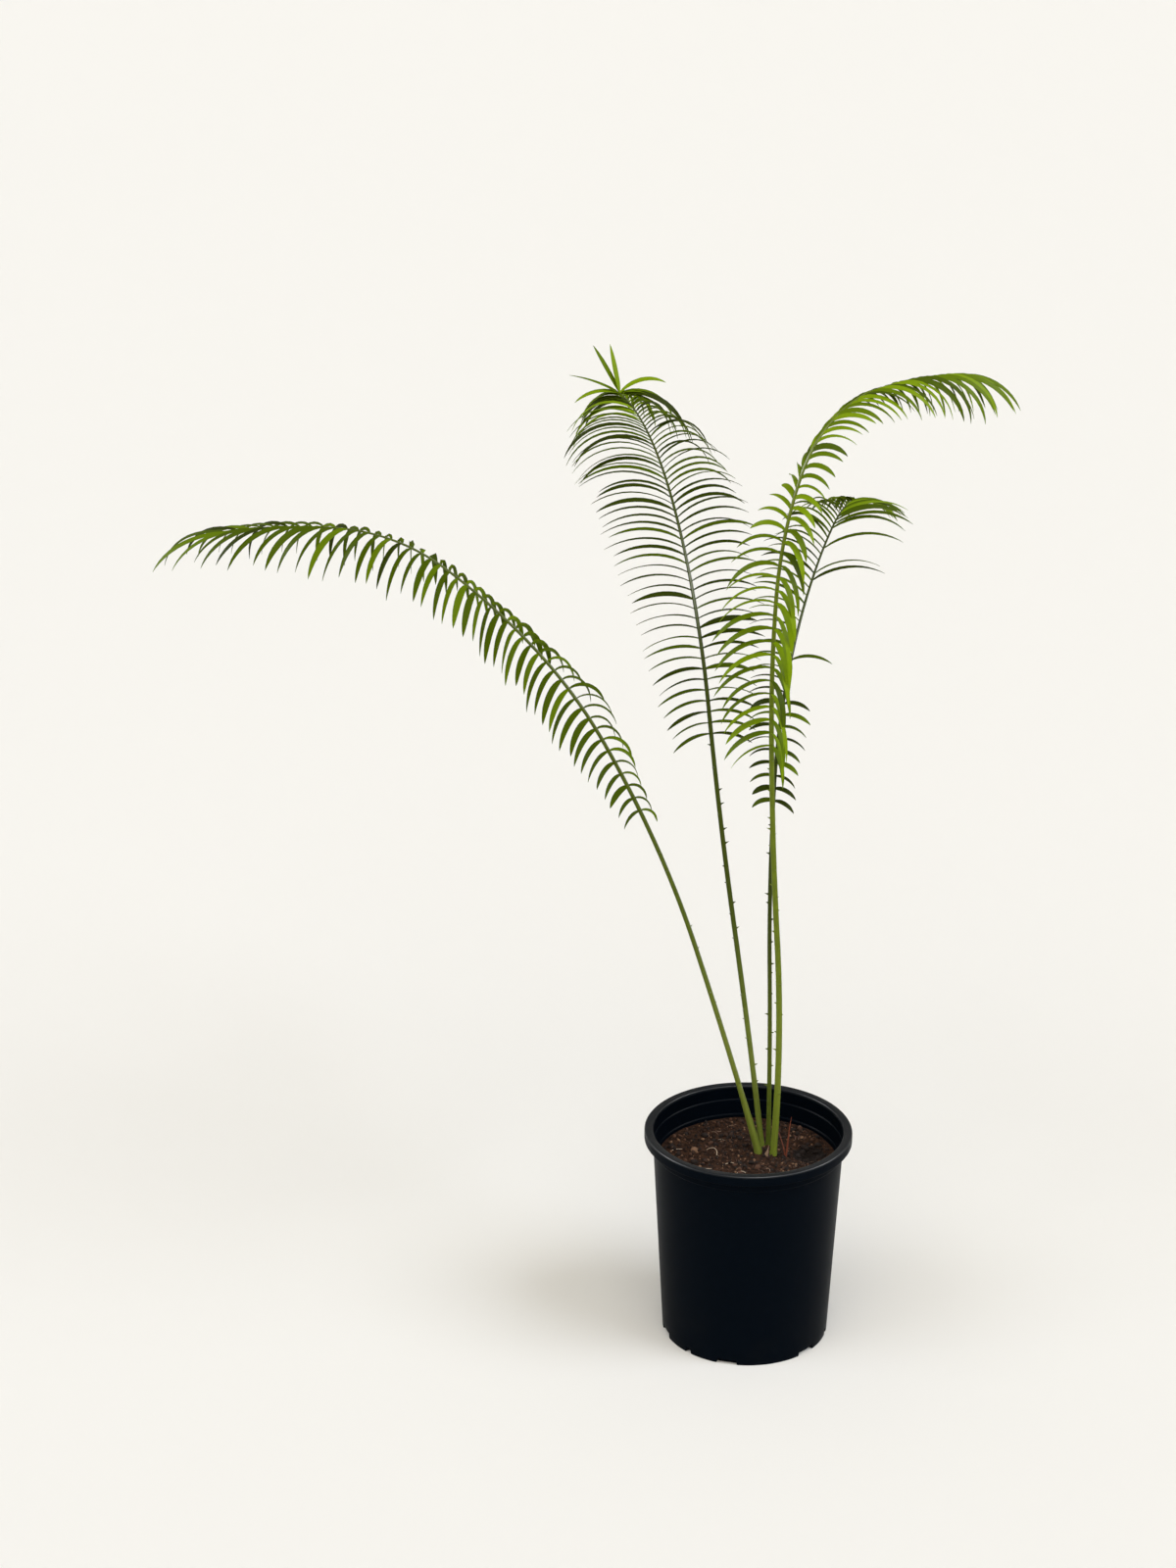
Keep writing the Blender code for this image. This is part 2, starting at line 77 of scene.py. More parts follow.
class Paint:
    # a procedural material in the object's own coordinates
    def __init__(self, name, colour, roughness, **fixed):
        self.made = bpy.data.materials.new(name)
        self.made.use_nodes = True
        self.tree = self.made.node_tree
        self.shader = self.tree.nodes["Principled BSDF"]
        self.shader.inputs["Base Color"].default_value = (*colour, 1.0)
        self.shader.inputs["Roughness"].default_value = roughness
        for key, value in fixed.items():
            self.shader.inputs[key.replace("_", " ")].default_value = value

    def node(self, kind, settings=None, inputs=None):
        made = self.tree.nodes.new(kind)
        for key, value in (settings or {}).items():
            setattr(made, key, value)
        for key, value in (inputs or {}).items():
            if isinstance(value, Reckon):
                self.tree.links.new(value.socket, made.inputs[key])
            else:
                made.inputs[key].default_value = value
        return lambda key=0: Reckon(self, made.outputs[key])

    def place(self):
        return self.node("ShaderNodeTexCoord")("Object")

    def height(self):
        return self.node("ShaderNodeSeparateXYZ", None, {0: self.place()})("Z")

    def noise(self, scale, detail=2.0, rough=0.5):
        return self.node(
            "ShaderNodeTexNoise", None,
            {"Vector": self.place(), "Scale": scale, "Detail": detail, "Roughness": rough},
        )("Fac")

    def mix(self, share, first, second):
        first = first if isinstance(first, Reckon) else (*first, 1.0)
        second = second if isinstance(second, Reckon) else (*second, 1.0)
        return self.node(
            "ShaderNodeMix", {"data_type": "RGBA"}, {0: share, 6: first, 7: second},
        )(2)

    def link(self, value, key):
        self.tree.links.new(value.socket, self.shader.inputs[key])
        return self

    def bump(self, value, distance, strength=1.0):
        made = self.node(
            "ShaderNodeBump", None, {"Height": value, "Distance": distance, "Strength": strength},
        )
        return self.link(made("Normal"), "Normal")


plastic = {"black": (0.0011, 0.0028, 0.0056), "dusty": (0.004, 0.0052, 0.0066), "dustTop": 0.12}


def potPlastic(name, shine):
    # blue-black, with a little dust towards the foot
    paint = Paint(name, plastic["black"], 0.3, Specular_IOR_Level=shine)
    grain = paint.noise(900.0, 3.0)
    patches = paint.noise(16.0, 4.0, 0.6)
    low = 1.0 - paint.height().between(0.0, plastic["dustTop"])
    dust = patches.between(0.45, 0.75) * low * 0.5
    paint.link(paint.mix(dust, plastic["black"], plastic["dusty"]), "Base Color")
    paint.link(0.32 + patches * 0.12 + grain * 0.04, "Roughness")
    return paint.bump(grain, 0.00012, 0.35).made


earth = {
    "dark": (0.011, 0.0050, 0.0029), "brown": (0.059, 0.027, 0.0145), "pale": (0.110, 0.055, 0.030),
}


def peat():
    # damp peat with paler specks
    paint = Paint("peat", (0.03, 0.017, 0.011), 0.95, Specular_IOR_Level=0.03)
    coarse = paint.noise(130.0, 6.0, 0.7)
    fine = paint.noise(620.0, 4.0, 0.6)
    lumps = paint.mix(coarse.between(0.35, 0.68), earth["dark"], earth["brown"])
    paint.link(paint.mix(fine.between(0.58, 0.75), lumps, earth["pale"]), "Base Color")
    return paint.bump(coarse + fine * 0.5, 0.0022, 0.9).made


def stalkGreen(name, low, high, third):
    # yellower near the foot, darker higher up, with small patches of a third green
    paint = Paint(name, high, 0.36, Specular_IOR_Level=0.12)
    patches = paint.noise(70.0, 3.0)
    rise = paint.height().between(0.26, 0.62)
    colour = paint.mix(rise, low, high)
    colour = paint.mix(patches.between(0.45, 0.8) * 0.4, colour, third)
    paint.link(colour, "Base Color")
    return paint.bump(patches, 0.0006, 0.3).made


def plain(name, colour, roughness, **fixed):
    return Paint(name, colour, roughness, **fixed).made


# Meshes

def meshPiece(name, points, faces, paints, kinds=None, sharp=None):
    mesh = bpy.data.meshes.new(name)
    mesh.from_pydata([tuple(p) for p in points], [], [tuple(f) for f in faces])
    for paint in paints:
        mesh.materials.append(paint)
    if kinds is not None:
        mesh.polygons.foreach_set("material_index", np.array(kinds, np.int32))
    mesh.shade_smooth()
    if sharp is not None:
        mesh.set_sharp_from_angle(angle=math.radians(sharp))
    mesh.update()
    made = bpy.data.objects.new(name, mesh)
    bpy.context.scene.collection.objects.link(made)
    return made


class Pile:
    # gathers many small shapes into one mesh
    def __init__(self):
        self.points = []
        self.faces = []
        self.kinds = []
        self.count = 0

    def add(self, points, faces, kinds):
        self.points.append(np.asarray(points, float))
        self.faces += [tuple(i + self.count for i in face) for face in faces]
        self.kinds += kinds if isinstance(kinds, list) else [kinds] * len(faces)
        self.count += len(points)

    def piece(self, name, paints, sharp=None):
        return meshPiece(name, np.concatenate(self.points), self.faces, paints, self.kinds, sharp)


def finish(piece, slot, *nodes):
    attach(piece, "root")
    if nodes:
        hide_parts(*nodes)


def strip(rings):
    # faces that join rings of equal count, given as an array (rings, count, 3), and close both ends
    rings = np.asarray(rings, float)
    amount, count = rings.shape[:2]
    faces = []
    for i in range(amount - 1):
        for j in range(count):
            k = (j + 1) % count
            a = i * count
            faces.append((a + j, a + k, a + count + k, a + count + j))
    faces.append(tuple(reversed(range(count))))
    faces.append(tuple(range((amount - 1) * count, amount * count)))
    return rings.reshape(-1, 3), faces


def ringAt(radius, height, angles):
    return [(radius * math.cos(a), radius * math.sin(a), height) for a in angles]


def softened(profile, reach, steps=4):
    # rounds each inner corner of an open (x, y) line by up to reach
    line = [Vector(p) for p in profile]
    out = [line[0]]
    for before, corner, after in zip(line, line[1:], line[2:]):
        back = before - corner
        ahead = after - corner
        cut = min(reach, back.length * 0.45, ahead.length * 0.45)
        start = corner + back.normalized() * cut
        end = corner + ahead.normalized() * cut
        for i in range(steps + 1):
            t = i / steps
            out.append(start * (1 - t) ** 2 + corner * 2 * t * (1 - t) + end * t ** 2)
    out.append(line[-1])
    return [tuple(p) for p in out]


# Pot

pot = {
    # metres; wide and small notches by width and the angles of their middles, in degrees from
    # the front, with their ends slanted over slant degrees
    "height": 0.300, "rim": 0.140, "flat": 0.0125, "lip": 0.014, "collar": 0.014,
    "top": 0.1278, "base": 0.113, "wall": 0.0025, "floor": 0.006,
    "ledges": (0.020, 0.041), "step": 0.002, "soft": 0.0015, "round": 0.0011, "sides": 720,
    "edge": 0.0009, "notchHeight": 0.0065, "notchDepth": 0.0055, "slant": 0.45,
    "wide": (0.027, (-75, -15, 45, 105, 165, 225)), "small": (0.009, (-45, 75, 195)),
    "rows": (0.010, 0.02, 0.05, 0.10, 0.16, 0.22, 0.265), "flangeDepth": 0.0062,
    "bodyShine": 0.016, "rimShine": 0.12,
}


def wallRadius(height):
    top = pot["height"] - pot["lip"] - pot["collar"]
    return pot["base"] + (pot["top"] - pot["base"]) * height / top


def ledgeRadius(depth, count):
    collar = pot["wall"] / 2 * (2 - count)
    return wallRadius(pot["height"] - depth) - pot["wall"] + collar - count * pot["step"] / 2


def innerRadius(height):
    lower = pot["height"] - pot["ledges"][1]
    top = ledgeRadius(pot["ledges"][1], 2)
    bottom = pot["base"] - pot["wall"]
    return bottom + (top - bottom) * (height - pot["floor"]) / (lower - pot["floor"])


def potOutline():
    # radius and height from above the notched foot to the middle of the pot's floor inside
    skirtEnd = pot["height"] - pot["lip"]
    collarEnd = skirtEnd - pot["collar"]
    skirtIn = pot["rim"] - pot["wall"]
    collar = wallRadius(skirtEnd) + pot["wall"] / 2
    soft = pot["soft"]
    high = pot["height"]
    first, second = pot["ledges"]
    wall = [(wallRadius(z), z) for z in pot["rows"]]
    rest = softened([
        (wallRadius(0.268), 0.268),
        (pot["top"], collarEnd),
        (collar, collarEnd + soft * 0.6),
        (collar, high - pot["wall"]),
        (skirtIn, high - pot["wall"]),
        (skirtIn, skirtEnd),
        (pot["rim"], skirtEnd),
        (pot["rim"], high - 0.0016),
        (pot["rim"] - 0.0014, high),
        (pot["rim"] - pot["flat"] + 0.0012, high - 0.0004),
        (pot["rim"] - pot["flat"], high - 0.0030),
        (ledgeRadius(first, 0) - 0.0006, high - first),
        (ledgeRadius(first, 1), high - first - soft * 0.5),
        (ledgeRadius(second, 1) - 0.0004, high - second),
        (ledgeRadius(second, 2), high - second - soft * 0.3),
        (innerRadius(0.20), 0.20),
        (pot["base"] - pot["wall"], pot["floor"]),
        (0.0, pot["floor"]),
    ], pot["round"])
    return wall + rest


def notchAt(angle):
    # how high the foot's edge is lifted at an angle from the front, in degrees
    lifted = 0.0
    for width, middles in (pot["wide"], pot["small"]):
        half = math.degrees(width / 2 / pot["base"])
        for middle in middles:
            away = abs((angle - middle + 180) % 360 - 180)
            rise = min(1.0, max(0.0, (half - away) / pot["slant"] + 0.5))
            lifted = max(lifted, rise)
    return pot["notchHeight"] * lifted


def footRows(degrees, angles):
    # five rings of the foot, lifted where it is notched
    inner = pot["base"] - pot["notchDepth"]
    edge = pot["edge"]
    rows = [[] for _ in range(5)]
    for degree, angle in zip(degrees, angles):
        lifted = notchAt(degree)
        spots = (
            (inner - 0.0006, 0.0),
            (inner, lifted),
            (pot["base"] - edge, lifted),
            (pot["base"] - edge * 0.25, lifted + edge * 0.3),
            (pot["base"], lifted + edge),
        )
        for row, (radius, height) in zip(rows, spots):
            row += ringAt(radius, height, [angle])
    return rows


def buildPot():
    sides = pot["sides"]
    outline = potOutline()
    degrees = [i * 360 / sides for i in range(sides)]
    angles = [math.radians(degree - 90) for degree in degrees]
    rows = footRows(degrees, angles)
    rows += [ringAt(radius, height, angles) for radius, height in outline[:-1]]
    points = [(0.0, 0.0, 0.0)]
    for row in rows:
        points += row
    points.append((0.0, 0.0, outline[-1][1]))
    last = 1 + (len(rows) - 1) * sides
    faces = []
    for j in range(sides):
        k = (j + 1) % sides
        faces.append((0, 1 + k, 1 + j))
        for i in range(len(rows) - 1):
            a = 1 + i * sides
            faces.append((a + j, a + k, a + sides + k, a + sides + j))
        faces.append((last + j, last + k, len(points) - 1))
    flange = pot["height"] - pot["flangeDepth"]
    kinds = [int(min(points[i][2] for i in face) > flange) for face in faces]
    paints = [potPlastic("potPlastic", pot["bodyShine"]), potPlastic("rimPlastic", pot["rimShine"])]
    finish(meshPiece("potShell", points, faces, paints, kinds, 34), "black_plastic", "pot")


buildPot()
print("pot built")


# Soil

soil = {
    "level": 0.2440, "raised": 0.0035, "relief": 0.00231, "waves": 34, "seed": 5,
    "crown": (0.0265, 0.0355), "mound": 0.0010, "moundReach": 0.040,
    "hollow": (0.086, 0.022), "hollowDepth": 0.012, "hollowReach": 0.022,
    # shade and shadeReach mark a painted shade: darker peat and crumbs over the hollow
    "shade": (0.084, 0.024), "shadeReach": 0.021,
    "edge": 0.0065, "edgeFrom": 0.045, "edgeWidth": 0.060,
    "crumbs": 2600, "crumbSize": 0.0012, "largestCrumb": 0.0050,
    "straws": 46, "strawReach": 0.104, "strawEdge": 0.108,
}
waveDraw = random.Random(soil["seed"])
soilWaves = [
    (waveDraw.uniform(60, 520), waveDraw.uniform(0, math.tau), waveDraw.uniform(0, math.tau))
    for _ in range(soil["waves"])
]


def awayFrom(x, y, place):
    return math.hypot(x - place[0], y - place[1])


def soilHeight(x, y):
    # uneven peat, a little higher round the stalks and at the wall, with a hollow at the right
    rough = sum(
        math.sin(f * (x * math.cos(a) + y * math.sin(a)) + p) * 34 / (20 + f)
        for f, a, p in soilWaves
    ) / 5.2
    mound = soil["mound"] * math.exp(-(awayFrom(x, y, soil["crown"]) / soil["moundReach"]) ** 2)
    sunk = math.exp(-(awayFrom(x, y, soil["hollow"]) / soil["hollowReach"]) ** 2)
    outward = (math.hypot(x, y) - soil["edgeFrom"]) / soil["edgeWidth"]
    edge = soil["edge"] * min(1.0, max(0.0, outward))
    level = soil["level"] + soil["raised"] + soil["relief"] * rough
    return level + mound - soil["hollowDepth"] * sunk + edge


def buildSoil():
    rings, sides = 62, 190
    clear = 0.0006
    reach = innerRadius(soil["level"] + 0.01) - clear
    points = [(0.0, 0.0, soilHeight(0, 0))]
    faces = []
    for i in range(1, rings + 1):
        radius = reach * (i / rings) ** 0.75
        for j in range(sides):
            a = math.tau * (j + 0.5 * (i % 2)) / sides
            x, y = radius * math.cos(a), radius * math.sin(a)
            points.append((x, y, soilHeight(x, y)))
    bottom = pot["floor"] + clear
    points += ringAt(innerRadius(bottom) - clear, bottom, [math.tau * j / sides for j in range(sides)])
    points.append((0.0, 0.0, bottom))
    for j in range(sides):
        k = (j + 1) % sides
        faces.append((0, 1 + j, 1 + k))
        for i in range(rings):
            a = 1 + i * sides
            faces.append((a + j, a + sides + j, a + sides + k, a + k))
        faces.append((1 + rings * sides + k, 1 + rings * sides + j, len(points) - 1))
    # painted shade: faces within shadeReach of shade take the darker peatShaded paint
    kinds = []
    for face in faces:
        x, y = (sum(points[i][k] for i in face) / len(face) for k in (0, 1))
        kinds.append(int(awayFrom(x, y, soil["shade"]) < soil["shadeReach"]))
    paints = [peat(), plain("peatShaded", (0.010, 0.0062, 0.0045), 0.95, Specular_IOR_Level=0.05)]
    made = meshPiece("soilBed", points, faces, paints, kinds, 70)
    finish(made, "peat", "soil")


def crumbShape():
    ball = bmesh.new()
    bmesh.ops.create_icosphere(ball, subdivisions=1, radius=1.0)
    points = np.array([v.co[:] for v in ball.verts])
    faces = [tuple(v.index for v in f.verts) for f in ball.faces]
    ball.free()
    return points, faces


def turnAt(draw):
    # a random turn as a 3 x 3 array
    a, b, c = (draw.uniform(0, math.tau) for _ in range(3))
    one = np.array(((math.cos(a), -math.sin(a), 0), (math.sin(a), math.cos(a), 0), (0, 0, 1)))
    two = np.array(((1, 0, 0), (0, math.cos(b), -math.sin(b)), (0, math.sin(b), math.cos(b))))
    three = np.array(((math.cos(c), -math.sin(c), 0), (math.sin(c), math.cos(c), 0), (0, 0, 1)))
    return one @ two @ three


def buildCrumbs():
    draw = random.Random(soil["seed"] + 1)
    points, faces = crumbShape()
    pile = Pile()
    reach = innerRadius(soil["level"]) - 0.005
    for _ in range(soil["crumbs"]):
        radius = reach * math.sqrt(draw.random())
        angle = draw.uniform(0, math.tau)
        x, y = radius * math.cos(angle), radius * math.sin(angle)
        size = min(soil["largestCrumb"], soil["crumbSize"] * math.exp(draw.gauss(0, 0.6)))
        sizes = [draw.uniform(0.7, 1.4), draw.uniform(0.7, 1.2), draw.uniform(0.5, 0.9)]
        shape = points * np.array(sizes)
        shape = shape * np.array([[1 + draw.uniform(-0.25, 0.25)] for _ in points])
        shape = shape @ turnAt(draw).T * size
        shape = shape + np.array((x, y, soilHeight(x, y) + size * draw.uniform(0.0, 0.5)))
        kind = draw.choices(range(4), (5, 4, 2, 1))[0]
        # painted shade: crumbs there all take the darkest paint
        shaded = awayFrom(x, y, soil["shade"]) < soil["shadeReach"] + 0.002
        pile.add(shape, faces, 0 if shaded else kind)
    paints = [
        plain("crumbDark", (0.015, 0.0085, 0.006), 0.95, Specular_IOR_Level=0.1),
        plain("crumbBrown", (0.040, 0.018, 0.0100), 0.95, Specular_IOR_Level=0.1),
        plain("crumbRed", (0.088, 0.040, 0.022), 0.9, Specular_IOR_Level=0.1),
        plain("crumbTan", (0.20, 0.108, 0.060), 0.9, Specular_IOR_Level=0.1),
    ]
    finish(pile.piece("soilCrumbs", paints), "peat", "soil")


def tube(line, radii, sides, flat=1.0):
    # rings round a line of points, the ends closed by faces
    line = np.asarray(line, float)
    ahead = np.gradient(line, axis=0)
    ahead /= np.linalg.norm(ahead, axis=1)[:, None]
    side = np.cross(ahead, (0.0, 0.0, 1.0))
    side += np.array((1e-6, 0, 0))
    side /= np.linalg.norm(side, axis=1)[:, None]
    above = np.cross(side, ahead)
    turns = np.arange(sides) * math.tau / sides
    rings = (
        line[:, None]
        + np.asarray(radii)[:, None, None] * (
            side[:, None] * np.cos(turns)[None, :, None]
            + above[:, None] * np.sin(turns)[None, :, None] * flat
        )
    )
    return strip(rings)


def bent(start, bearing, length, bow, lift, count=9):
    # a thin bowed line that follows the soil
    line = []
    x, y = start
    turn = bearing
    for i in range(count):
        arch = lift * math.sin(math.pi * i / (count - 1))
        line.append((x, y, soilHeight(x, y) + arch + 0.0005))
        turn += bow / count
        x += math.cos(turn) * length / count
        y += math.sin(turn) * length / count
    return line


def buildStraws():
    draw = random.Random(soil["seed"] + 2)
    pile = Pile()
    known = (
        # start, bearing, length, bow and lift of the pale curl and sticks that stand out most
        ((-0.041, 0.020), 1.1, 0.026, 2.6, 0.004), ((-0.030, -0.004), 0.3, 0.018, -1.2, 0.002),
        ((-0.102, 0.022), 0.35, 0.018, 0.2, 0.001), ((-0.004, -0.030), 2.6, 0.015, 1.4, 0.002),
        ((0.018, -0.040), 0.2, 0.013, 0.8, 0.002), ((-0.060, -0.020), -0.6, 0.015, 1.6, 0.001),
    )
    for start, bearing, length, bow, lift in known:
        line = bent(start, bearing, length, bow, lift)
        pile.add(*tube(line, np.linspace(0.00060, 0.00028, len(line)), 5), 0)
    for _ in range(soil["straws"]):
        radius = soil["strawReach"] * math.sqrt(draw.random())
        angle = draw.uniform(0, math.tau)
        start = (radius * math.cos(angle), radius * math.sin(angle))
        length = draw.uniform(0.005, 0.017)
        bearing = draw.uniform(0, math.tau)
        bow = draw.gauss(0, 1.4)
        line = bent(start, bearing, length, bow, draw.uniform(0, 0.0015))
        if max(math.hypot(p[0], p[1]) for p in line) > soil["strawEdge"]:
            continue
        thick = draw.uniform(0.00018, 0.00042)
        points, faces = tube(line, np.linspace(thick, thick * 0.4, len(line)), 5)
        pile.add(points, faces, draw.choice((0, 1, 1, 2)))
    paints = [
        plain("strawPale", (0.46, 0.33, 0.21), 0.7), plain("strawTan", (0.23, 0.13, 0.07), 0.8),
        plain("strawRust", (0.13, 0.045, 0.025), 0.85),
    ]
    finish(pile.piece("soilStraws", paints, 60), "peat", "soil")


buildSoil()
buildCrumbs()
buildStraws()
print("soil built")


# Fronds

def along01(values, share):
    # a value given at even steps along the leafy part
    return float(np.interp(share, np.linspace(0, 1, len(values)), values))


frondStations = (0.0, 0.25, 0.5, 0.625, 0.75, 0.875, 1.0)      # where leans and bearings are given
# Angles are in degrees, gap, reach and the crest's lengths in millimetres, all else in metres. Leans
# are from upright, bearings from +X towards +Y, and radii are at the foot, a little above it and
# where the leaves begin. The leaflets' values are at even steps along the leafy part: gap between
# pairs, reach of one, spread off the rib, open (added to the right's spread, taken off the left's),
# lift of a pair into a V, twist of the rib, sag by the leaflet's tip and early, less than 1 where
# the sag comes soon. show turns the blades off the line of sight, for each side, and skew makes the
# right side sag more. bare lists side, start and end of stretches without leaflets, and crest the
# tip's own leaflets: bearing, rise, length, sag, show. deal is how often each green comes up.
fronds = {
    "left": dict(
        foot=(0.0165, 0.0300), length=1.232, leafy=0.500,
        radii=(0.0062, 0.0041, 0.0031), leans=(16, 18.5, 31, 45, 54.5, 87, 97.5),
        bearings=(168, 165, 163, 165, 169, 176, 184), gap=(19, 15.5, 14, 15, 17),
        reach=(34, 74, 76, 92, 112), spread=(88, 86, 74, 58, 20), open=(15, 8, 0, 0, 0),
        lift=(10, 12, 22, 22, 10), twist=(30, 28, 8, 0, 0), sag=(78, 84, 108, 105, 60),
        early=(0.9, 0.8, 0.5, 0.6, 1.7), show={1: (18, 22, 36, 36, 30), -1: (44, 50, 58, 46, 34)},
        skew=0.12, bare=(), crest=(),
        deal=((0, 5, 3, 0), (0, 6, 3, 0), (0, 6, 2, 0), (1, 6, 2, 0), (1, 5, 2, 0)),
    ),
    "middle": dict(
        foot=(0.0212, 0.0468), length=1.215, leafy=0.559,
        radii=(0.0043, 0.0037, 0.0030), leans=(11.5, 18, 17.5, 35, 55.5, 75.5, 92.5),
        bearings=(124, 117, 109, 106, 104, 104, 104), gap=(15, 13.5, 11.5, 10, 9.5),
        reach=(62, 88, 118, 148, 98), spread=(88, 70, 58, 50, 22), open=(0, 0),
        lift=(8, 15, 20, 20, 10), twist=(0, 0, 0, 0, 0), sag=(45, 50, 66, 92, 60),
        early=(1.0, 1.0, 1.0, 1.0, 1.0), show={1: (25, 23, 21, 20, 28), -1: (25, 23, 22, 21, 26)},
        skew=0.0, bare=(),
        crest=(
            (140, 54, 80, 5, 38), (112, 60, 74, 0, 42), (168, 27, 78, 20, 35),
            (178, 18, 70, 62, 35), (28, 40, 82, 70, 40), (8, 8, 120, 76, 44),
            (16, 16, 98, 84, 36), (2, -2, 104, 62, 40),
        ),
        deal=((4, 4, 0, 0), (4, 4, 0, 0), (5, 3, 0, 0), (5, 3, 0, 0), (1, 3, 4, 3)),
    ),
    "right": dict(
        foot=(0.0360, 0.0220), length=1.275, leafy=0.590,
        radii=(0.0049, 0.0043, 0.0034), leans=(6, -7, -2, 5, 27, 82, 99.5),
        bearings=(54, 53, 52, 50, 45, 38, 34), gap=(18, 17.5, 17, 15, 13, 12, 12, 12, 12),
        reach=(66, 84, 92, 78, 44, 58, 84, 108, 108), spread=(85, 80, 76, 62, 26, 22, 32, 34, 18),
        open=(0, 0, 0, 0, 4, 14, 18, 12, 2), lift=(32, 32, 30, 26, 26, 12, 5, 4, 0),
        twist=(0, 0, 0, 2, 5, 10, 18, 20, 20), sag=(80, 86, 92, 104, 104, 70, 74, 84, 50),
        early=(0.8, 0.75, 0.7, 0.6, 0.55, 0.9, 0.9, 0.9, 1.0),
        show={
            1: (44, 48, 50, 52, 44, 36, 36, 38, 40), -1: (40, 38, 36, 38, 48, 36, 30, 34, 36),
        },
        skew=0.18, bare=(), crest=(),
        deal=((0, 1, 5, 3), (0, 1, 4, 5), (0, 1, 4, 5), (0, 2, 5, 3), (0, 2, 5, 3)),
    ),
    "back": dict(
        foot=(0.0305, 0.0487), length=1.063, leafy=0.500,
        radii=(0.0035, 0.0031, 0.0027), leans=(0, -6, 6.5, 29.5, 53, 74, 105),
        bearings=(75, 71, 69, 68.5, 69.5, 71.5, 72), gap=(17, 15, 13, 11, 10),
        reach=(32, 46, 84, 126, 110), spread=(82, 70, 56, 44, 20), open=(0, 0),
        lift=(10, 15, 20, 20, 10), twist=(0, 0, 0, 0, 0), sag=(65, 65, 62, 62, 35),
        early=(1.0, 1.0, 1.0, 1.0, 1.0), show={1: (30, 26, 30, 34, 40), -1: (28, 24, 22, 24, 30)},
        skew=0.0, bare=((1, 0.27, 0.345), (1, 0.375, 0.545), (1, 0.60, 0.66), (1, 0.69, 0.74)),
        crest=(), deal=((2, 4, 1, 0), (3, 4, 1, 0), (3, 4, 1, 0), (1, 4, 3, 0), (0, 3, 4, 1)),
    ),
}
footLevel = 0.2500
tipRadius = 0.0009
firstLeaflet = 0.011
frondSeed = 11
lookSeed = 23
uneven = {"spread": 1.4, "lift": 2, "length": 0.05, "sag": 0.05, "show": 8}     # spread of the draws


class Rib:
    # the centre line of one frond, walked in short steps from foot to tip
    def __init__(self, values, step=0.003):
        self.values = values
        count = round(values["length"] / step)
        self.pace = values["length"] / count
        place = np.array((*values["foot"], footLevel))
        places = [place]
        for i in range(count):
            place = place + self.frame((i + 0.5) * self.pace)[0] * self.pace
            places.append(place)
        self.places = np.array(places)

    def frame(self, run):
        share = run / self.values["length"]
        lean = math.radians(np.interp(share, frondStations, self.values["leans"]))
        bearing = math.radians(np.interp(share, frondStations, self.values["bearings"]))
        out = np.array((math.cos(bearing), math.sin(bearing), 0.0))
        up = np.array((0.0, 0.0, 1.0))
        along = out * math.sin(lean) + up * math.cos(lean)
        upper = up * math.sin(lean) - out * math.cos(lean)
        return along, upper, np.array((math.sin(bearing), -math.cos(bearing), 0.0))

    def place(self, run):
        at = min(max(run / self.pace, 0.0), len(self.places) - 1.001)
        i = int(at)
        return self.places[i] + (self.places[i + 1] - self.places[i]) * (at - i)

    def radius(self, run):
        foot, middle, top = self.values["radii"]
        leafy = self.values["leafy"]
        stations = (0.0, 0.18 * leafy, leafy, self.values["length"])
        return float(np.interp(run, stations, (foot, middle, top, tipRadius)))

    def ring(self, run, sides, radius=None):
        # nearly round, a little flattened on its upper face
        _, upper, right = self.frame(run)
        radius = self.radius(run) if radius is None else radius
        turns = np.arange(sides) * math.tau / sides
        high = np.sin(turns)
        flat = 0.62
        high = np.where(high > flat, flat + (high - flat) * 0.15, high)
        return (
            self.place(run)
            + radius * (right[None] * np.cos(turns)[:, None] + upper[None] * high[:, None])
        )


def leafletsOf(values, rib, draw):
    # every leaflet of a frond, in pairs along the rib and then the crest
    found = []
    run = values["leafy"] + firstLeaflet
    while run < values["length"]:
        share = (run - values["leafy"]) / (values["length"] - values["leafy"])
        value = {
            key: along01(values[key], share)
            for key in ("gap", "reach", "spread", "open", "lift", "twist", "sag", "early")
        }
        along, upper, right = rib.frame(run)
        turn = math.radians(value["twist"])
        right, upper = (
            right * math.cos(turn) + upper * math.sin(turn),
            upper * math.cos(turn) - right * math.sin(turn),
        )
        for side in (1, -1):
            opened = value["spread"] + side * value["open"]
            spread = math.radians(opened + draw.gauss(0, uneven["spread"]))
            lift = math.radians(value["lift"] + draw.gauss(0, uneven["lift"]))
            length = value["reach"] / 1000 * (1 + draw.gauss(0, uneven["length"]))
            sag = value["sag"] * (1 + draw.gauss(0, uneven["sag"])) * (1 + values["skew"] * side)
            show = along01(values["show"][side], share) + draw.gauss(0, uneven["show"])
            outward = side * math.cos(lift) * right + math.sin(lift) * upper
            start = math.cos(spread) * along + math.sin(spread) * outward
            if any(side == lost and low < share < high for lost, low, high in values["bare"]):
                continue
            found.append(dict(
                run=run, share=share, show=show, early=value["early"], sag=sag, length=length,
                bearing=math.atan2(start[1], start[0]),
                elevation=math.degrees(math.asin(start[2])),
            ))
        run += value["gap"] / 1000
    for bearing, elevation, length, sag, show in values["crest"]:
        found.append(dict(
            run=values["length"] - 0.003, share=1.0, show=show, early=1.0, sag=sag,
            length=length / 1000, bearing=math.radians(bearing), elevation=elevation,
        ))
    return found


